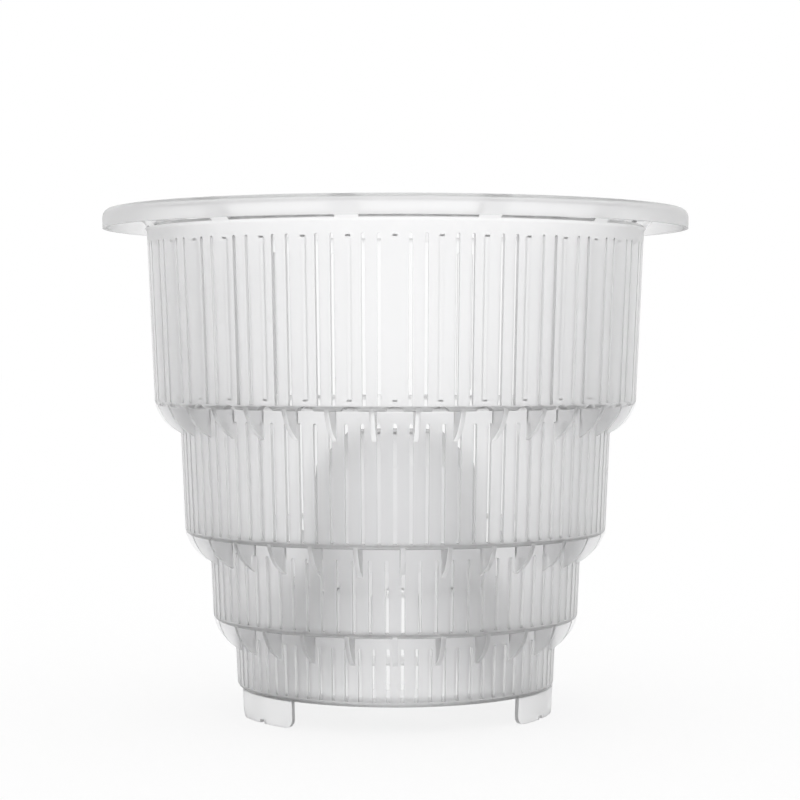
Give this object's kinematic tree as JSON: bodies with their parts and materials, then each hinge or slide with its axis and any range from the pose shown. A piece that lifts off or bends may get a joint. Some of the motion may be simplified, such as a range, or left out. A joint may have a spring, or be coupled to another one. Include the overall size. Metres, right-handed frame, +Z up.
{
  "type": "stepped slotted net pot",
  "caption": "Clear one-piece net pot with four stepped slotted tiers, a wide brim with a skirt, an inner air cone open below, and three feet.",
  "frame": {"origin": "on the surface that the feet stand on, on the pot's axis", "axes": "+Z up along the pot's axis, -Y to the pot's front, +X to the right as seen from the front"},
  "size_m": [0.18, 0.18, 0.1544],
  "materials": {
    "clear_polypropylene": "gloss"
  },
  "bodies": {
    "root": {"net_pot": "clear_polypropylene"}
  },
  "joints": []
}
